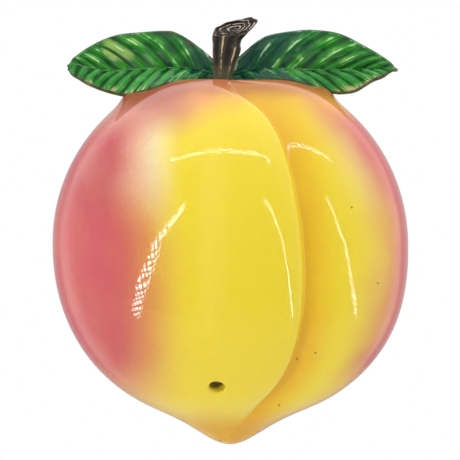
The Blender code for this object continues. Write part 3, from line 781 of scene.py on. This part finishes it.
def leaf_glaze(name, side):
    """Green over the ribs: dark in the valleys, yellow-green on the crests, blue-green towards the root. The
    valleys hold some painted shade and the crests some painted highlight; thin pale lines are painted
    highlights, and the lower rim is painted dark as shade.
    """
    VALLEY = (0.002, 0.060, 0.004)
    GREEN = (0.012, 0.18, 0.012)
    CREST = (0.080, 0.40, 0.030)
    LOWER = (0.045, 0.33, 0.055)
    TEAL = (0.002, 0.056, 0.034)
    PALE = (0.36, 0.54, 0.13)
    PAINTED_HIGHLIGHT = (0.62, 0.76, 0.55)
    CLAY_AND_HIGHLIGHT = (0.72, 0.58, 0.30)
    RUST_AND_SHADE = (0.085, 0.045, 0.018)
    material, shader, place = recipe(name)
    shader.inputs["Roughness"].default_value = 0.05
    shader.inputs["Specular IOR Level"].default_value = 0.22
    rib = measured(place, "rib")
    share = measured(place, "share")
    cross = measured(place, "cross")
    turns = measured(place, "turns")
    patch = place.cloud(7, detail=2)
    along_rib = place.add("ShaderNodeCombineXYZ", {}, {0: turns * 7, 1: cross * 2.5, 2: share})
    fibre = along_rib.cloud(1.0, detail=4)
    tone = rib + patch * 1.8 + fibre * 1.3
    # The valleys are partly painted shade and the crests partly painted highlight, over the glaze's own
    # greens.
    colour = tone.rise(0.10, 0.75).over(VALLEY, GREEN)
    colour = tone.rise(0.80, 1.35).over(colour, CREST)
    below = cross.rise(0.02, -0.04)
    colour = (below * tone.rise(0.2, 0.9) * 0.75).over(colour, LOWER)
    reach = 0.40 + 0.06 * side
    teal = (share + patch * 0.3 + fibre * 0.3).rise(reach, reach - 0.28) * (1 - rib.rise(0.8, 1.1) * 0.3)
    colour = (teal * 0.9).over(colour, TEAL)
    colour = ((tone + patch * 1.4).rise(1.25, 1.8) * share.rise(0.15, 0.45) * 0.7).over(colour, PALE)
    # Thin pale lines are painted highlights: on the rib crests, down the midrib and along the upper rim.
    vein_highlights = rib.rise(1.05, 1.07) * (fibre * 0.4 + patch).rise(0.04, 0.09) * (1 - below * 0.5)
    midrib = (cross * cross).rise(0.0010, 0.0002) * 0.6
    edge = cross.rise(0.97, 1.0) * cross.rise(1.06, 1.02) * (fibre + patch).rise(0, 0.1) * 0.5
    if side < 0:
        spot = (share - 0.56) ** 2 * 60 + (cross - 0.62) ** 2 * 3 + patch * 1.5
        colour = (spot.rise(0.5, 0.0) * rib.rise(0.2, 0.7) * 0.7).over(colour, PALE)
        rusty = (patch + share * 0.9).rise(0.16, 0.02) * cross.rise(0.55, 0.85) * 0.7
    else:
        rusty = (share + patch * 0.1).rise(0.94, 0.985) * 0.6
    colour = rusty.over(colour, RUST_AND_SHADE)
    colour = (vein_highlights * 0.9).over(colour, PAINTED_HIGHLIGHT)
    colour = midrib.over(colour, PAINTED_HIGHLIGHT)
    colour = edge.over(colour, PAINTED_HIGHLIGHT)
    # Cream flecks along the lower edge: partly clay where the glaze wore off, partly painted highlight on the
    # lip.
    worn_and_highlit = cross.rise(-0.78, -1.0) * (fibre + patch * 0.8).rise(0.04, 0.20) * share.rise(0.15, 0.45)
    colour = (worn_and_highlit * 0.8).over(colour, CLAY_AND_HIGHLIGHT)
    # Painted shade: dark brown over the lower rim, where it tucks in against the peach.
    colour = (cross.rise(-1.0, -1.04) * share.rise(0.12, 0.24) * 0.8).over(colour, RUST_AND_SHADE)
    feed(shader, "Base Color", colour)
    bumped(shader, fibre + patch, depth=0.00030)
    return material


for leaf_name, leaf in LEAVES.items():
    make_leaf(leaf_name, leaf, leaf_glaze(leaf_name.replace("_", " ") + " glaze", leaf["side"]))

# The stem. A short twig with grooved bark, cut off at a slant: the cut face looks up and forward, and its
# rim flares out to the right. It is sunk in the pit between the leaves.
STEM_Y = -BACK_DEPTH - 0.0110
# Each station of the stem is a rise, a shift to the right, a half width, a half depth and a lean forward.
STEM_STATIONS = (
    (-0.0060, 0.0000, 0.0041, 0.0044, 0.0000),
    (0.0015, 0.0000, 0.0041, 0.0044, 0.0000),
    (0.0070, -0.0002, 0.0039, 0.0043, 0.0000),
    (0.0120, 0.0004, 0.0046, 0.0043, -0.0010),
    (0.0172, 0.0013, 0.0057, 0.0045, -0.0022),
    (0.0200, 0.0013, 0.0056, 0.0045, -0.0030),
    (0.0225, 0.0018, 0.0063, 0.0046, -0.0036),
)
END_RISE = 0.0264
END_SHIFT = 0.0048
END_HALF_WIDTH = 0.0087
END_HALF_DEPTH = 0.0042
END_TILT = radians(14)
END_FACING = radians(44)
END_SQUARENESS = 0.3
END_SINK = 0.0006
BARK_GROOVES = 7
BARK_GROOVE_DEPTH = 0.0008
BARK_GRAIN_DEPTH = 0.0003
GROWTH_RING_FINENESS = 24
GROWTH_RING_HEIGHT = 0.0004
STEM_RINGS = 90
STEM_SIDES = 168
END_RINGS = 30


def stem_line(share):
    """Middle line of the stem with its half width and half depth, which turn to the slant of the cut."""
    rises, shifts, widths, depths, forwards = np.array(STEM_STATIONS).T
    knots = np.linspace(0, 1, len(STEM_STATIONS) + 1)

    def curve(values, last):
        return along(list(zip(knots, [*values, last])), share)

    centre = np.concatenate([
        STEM_X + curve(shifts, END_SHIFT),
        STEM_Y - curve(forwards, forwards[-1]),
        PIT_FLOOR_Z + curve(rises, END_RISE),
    ], 1)
    slant = smooth((share - knots[-2]) / (1 - knots[-2]))
    tilt = END_TILT * slant
    facing = END_FACING * slant
    wide = curve(widths, END_HALF_WIDTH) * np.concatenate([np.cos(tilt), 0 * tilt, np.sin(tilt)], 1)
    deep = curve(depths, END_HALF_DEPTH) * np.concatenate([0 * facing, -np.cos(facing), -np.sin(facing)], 1)
    return centre, wide, deep


def make_stem(material):
    """The stem as rings of points, up the bark and inward over the cut end to one point in its middle."""
    share = np.linspace(0, 1, STEM_RINGS + 1)[:, None]
    angle = np.linspace(0, 2 * pi, STEM_SIDES, endpoint=False)[None, :]
    centre, wide, deep = stem_line(share)
    wander = 0.35 * np.sin(7 * share + 1.3) + 0.12 * np.sin(19 * share)
    ridge = (0.5 + 0.5 * np.cos(BARK_GROOVES * angle + wander)) ** 0.6
    spots = [[(4 * cos(a), 4 * sin(a), 2.5 * s) for a in angle[0]] for s in share[:, 0]]
    fine = np.array([[noise.noise(spot) for spot in row] for row in spots])
    groove = (1 - ridge) * BARK_GROOVE_DEPTH + BARK_GRAIN_DEPTH * (fine + 0.4)
    size = 1 - groove / np.linalg.norm(wide, axis=1, keepdims=True)
    square = 1 - END_SQUARENESS * smooth((share - 0.5) / 0.5)[..., None]
    across = np.sign(np.cos(angle))[..., None] * abs(np.cos(angle))[..., None] ** square
    around = np.sign(np.sin(angle))[..., None] * abs(np.sin(angle))[..., None] ** square
    skin = centre[:, None] + (wide[:, None] * across + deep[:, None] * around) * size[..., None]
    face_way = unit(np.cross(wide[-1], deep[-1]))
    face_way = face_way * np.sign(face_way[2])
    rings = [skin]
    marks = [ridge + 0 * share]
    for i in range(1, END_RINGS + 1):
        out = 1 - i / END_RINGS
        grain = 0.5 + 0.5 * np.cos(GROWTH_RING_FINENESS * (out + 0.35 * np.sin(angle[0] + 0.9) * out))
        lift = GROWTH_RING_HEIGHT * smooth(i / 3) * (grain - 1.2) - END_SINK * smooth(i / 5)
        flat = centre[-1] + (skin[-1] - centre[-1]) * out
        rings.append((flat + face_way * lift[:, None])[None])
        marks.append((2 + grain)[None])
    loop = np.concatenate(rings)
    faces = ring_faces(len(loop), STEM_SIDES) + [tuple(range(STEM_SIDES))]
    item = add_piece("stem", loop.reshape(-1, 3), faces, [material])
    keep_value(item, "bark", np.concatenate(marks).reshape(-1)[:len(item.data.vertices)])
    finish_piece(item, radians(60))


def stem_glaze():
    """Dark brown glaze, almost black in the grooves and rubbed back to tan on the ridges."""
    DARK = (0.008, 0.006, 0.004)
    BROWN = (0.050, 0.034, 0.018)
    TAN = (0.60, 0.45, 0.25)
    CREAM = (0.72, 0.60, 0.45)
    OLIVE = (0.12, 0.10, 0.040)
    GREEN = (0.03, 0.10, 0.04)
    material, shader, place = recipe("stem glaze")
    shader.inputs["Roughness"].default_value = 0.14
    shader.inputs["Specular IOR Level"].default_value = 0.30
    x, _, z = place.parts()
    bark = measured(place, "bark")
    fibre = place.stretched((1.0, 1.0, 0.22)).cloud(0.9, detail=3)
    patch = place.cloud(4, detail=2)
    on_end = bark.rise(1.5, 2.0)
    tone = bark + fibre * 0.8 + patch * 0.4
    colour = tone.rise(0.35, 1.0).over(DARK, BROWN)
    ridge_line = (bark + fibre * 0.12 + patch * 0.30).rise(0.985, 1.01) * bark.rise(1.6, 1.2)
    colour = (ridge_line * z.rise(14, 20) * 0.8).over(colour, TAN)
    rim = bark.rise(1.2, 1.9) * bark.rise(2.9, 2.1)
    colour = (rim * (patch + fibre * 0.3).rise(-0.08, 0.04) * 0.9).over(colour, CREAM)
    colour = ((z + patch * 4).rise(22, 16) * 0.5).over(colour, OLIVE)
    colour = ((z + patch * 6).rise(18, 12) * 0.5).over(colour, GREEN)
    end_tone = bark + fibre * 0.7
    end = end_tone.rise(2.4, 2.9).over(DARK, BROWN)
    end = ((end_tone + patch * 0.6 + x.rise(-1, 4) * 0.12).rise(2.93, 3.08) * 0.85).over(end, CREAM)
    colour = on_end.over(colour, end)
    feed(shader, "Base Color", colour)
    bumped(shader, fibre, depth=0.0003)
    return material


make_stem(stem_glaze())

# The light tent. White cloth all round: dimmer in front but for one soft upright panel, brighter overhead and
# beside the wall, dark straight behind. The camera itself sees plain white. Three strips of small lamps hang
# in front of the piece, hidden from the camera, and show as dotted lines in the glaze.
CENTRE = Vector((0, -BACK_DEPTH, -0.04338))
LAMPS_AWAY = 1.0
LAMP_EDGE = (0.17, 0.27)


def light_tent():
    world = bpy.data.worlds.new("light tent")
    bpy.context.scene.world = world
    world.use_nodes = True
    tree = world.node_tree
    back = tree.nodes["Background"]
    back.inputs["Color"].default_value = (1, 1, 1, 1)
    way = Tone(tree.nodes.new("ShaderNodeTexCoord").outputs["Generated"])
    x, y, z = way.parts()
    front = y.rise(-0.15, -0.80)
    panel = ((x + 0.16) ** 2).rise(0.025, 0.0) * front
    overhead = z.rise(0.50, 0.95)
    beside_wall = y.rise(0.30, 0.55)
    straight_behind = y.rise(0.60, 0.80)
    rear = beside_wall * 0.4 - straight_behind * 0.9
    light = 1.08 - front * 0.60 + z * 0.17 + overhead * 0.26 + rear + panel * 0.5
    seen = Tone(tree.nodes.new("ShaderNodeLightPath").outputs["Is Camera Ray"])
    strength = light + (1 - light) * seen
    tree.links.new(strength.socket, back.inputs["Strength"])


def lamp_strip(name, start, end, widths, lamps, strength):
    """A bar of small lamps between two directions from the peach, in degrees to the left and up."""
    ends = []
    for turn, rise in (start, end):
        turn, rise = radians(turn), radians(rise)
        ends.append(CENTRE + LAMPS_AWAY * Vector((-sin(turn) * cos(rise), -cos(turn) * cos(rise), sin(rise))))
    facing = (CENTRE - (ends[0] + ends[1]) / 2).normalized()
    wide = (ends[1] - ends[0]).cross(facing).normalized() / 2
    points = [ends[0] - wide * widths[0], ends[0] + wide * widths[0]]
    points += [ends[1] + wide * widths[1], ends[1] - wide * widths[1]]
    mesh = bpy.data.meshes.new(name)
    mesh.from_pydata(points, [], [(0, 1, 2, 3)])
    layer = mesh.uv_layers.new(name="lamps")
    for loop, place in zip(layer.data, ((0, 0), (lamps[0], 0), lamps, (0, lamps[1]))):
        loop.uv = place
    material = bpy.data.materials.new(name)
    material.use_nodes = True
    tree = material.node_tree
    tree.nodes.clear()
    across, up, _ = Tone(tree.nodes.new("ShaderNodeUVMap").outputs[0]).parts()
    lit = strength
    for line in ((across + up) / 2, (across - up) / 2):
        lit = line.sum("PINGPONG", line, 0.5).rise(*LAMP_EDGE) * lit
    emission = tree.nodes.new("ShaderNodeEmission")
    tree.links.new(lit.socket, emission.inputs["Strength"])
    output = tree.nodes.new("ShaderNodeOutputMaterial")
    tree.links.new(emission.outputs[0], output.inputs["Surface"])
    mesh.materials.append(material)
    item = bpy.data.objects.new(name, mesh)
    bpy.context.scene.collection.objects.link(item)
    item.visible_camera = False
    item.visible_shadow = False


light_tent()
lamp_strip("left_lamps", (24, 19), (61, -31), widths=(0.040, 0.110), lamps=(4, 34), strength=27)
lamp_strip("right_lamps", (-20, 21), (-61, -31), widths=(0.035, 0.055), lamps=(2, 36), strength=20)
lamp_strip("top_lamps", (41, 42), (-41, 42), widths=(0.040, 0.040), lamps=(2, 30), strength=20)

# The floor. A round of matt pale paper lies well below the piece, fades out towards its rim, and sends a
# little soft light up under the chin.
FLOOR_DROP = 0.30
FLOOR_RADIUS = 0.8
FLOOR_GREY = (0.66, 0.66, 0.66, 1)


def pale_floor():
    floor_z = cad_box[0].z - FLOOR_DROP
    mesh = bpy.data.meshes.new("floor")
    work = bmesh.new()
    bmesh.ops.create_circle(work, cap_ends=True, segments=96, radius=FLOOR_RADIUS)
    work.to_mesh(mesh)
    work.free()
    floor = bpy.data.objects.new("floor", mesh)
    floor.location = (0, 0, floor_z)
    bpy.context.scene.collection.objects.link(floor)
    material, shader, place = recipe("pale floor")
    shader.inputs["Base Color"].default_value = FLOOR_GREY
    shader.inputs["Roughness"].default_value = 0.9
    x, y, _ = place.parts()
    away = (x ** 2 + y ** 2) ** 0.5
    feed(shader, "Alpha", away.rise(FLOOR_RADIUS * 1000, FLOOR_RADIUS * 350))
    mesh.materials.append(material)


pale_floor()

# The camera stands square in front of the wall, level with the middle of the picture. One pixel has a set
# size at the widest line of the peach.
CAMERA_AWAY = 1.5
PIXEL = 0.000385
PICTURE = 460

camera = bpy.data.objects.new("camera", bpy.data.cameras.new("camera"))
bpy.context.scene.collection.objects.link(camera)
camera.data.sensor_width = 36
camera.data.lens = camera.data.sensor_width * CAMERA_AWAY / (PICTURE * PIXEL)
camera.location = CENTRE - Vector((0, CAMERA_AWAY, 0))
camera.rotation_euler = (pi / 2, 0, 0)
bpy.context.scene.camera = camera
bpy.context.scene.view_settings.view_transform = "Standard"
